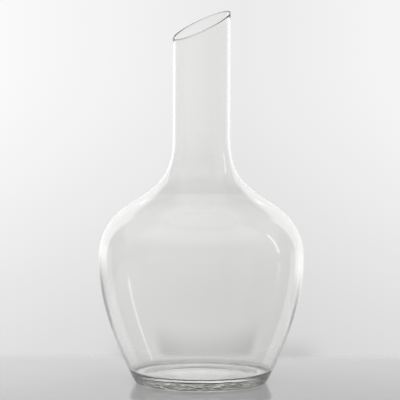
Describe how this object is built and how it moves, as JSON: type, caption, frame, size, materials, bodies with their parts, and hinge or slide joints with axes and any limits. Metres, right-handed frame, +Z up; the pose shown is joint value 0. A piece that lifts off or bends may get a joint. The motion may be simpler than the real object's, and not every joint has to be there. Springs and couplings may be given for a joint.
{
  "type": "wine decanter",
  "caption": "Clear glass wine decanter with a round tapering body, a sloping shoulder, a straight neck, a slanted mouth and a heavy foot.",
  "frame": {"origin": "on the vessel's axis, at table level under the middle of the foot", "axes": "+Z up along the vessel's axis, +X towards the high side of the slanted mouth"},
  "size_m": [0.15, 0.15, 0.27],
  "materials": {
    "clear_glass": "clear, polished"
  },
  "bodies": {
    "root": {"foot": "clear_glass", "lower_bowl": "clear_glass", "upper_bowl": "clear_glass", "shoulder": "clear_glass", "throat": "clear_glass", "neck": "clear_glass", "lip": "clear_glass"}
  },
  "joints": []
}
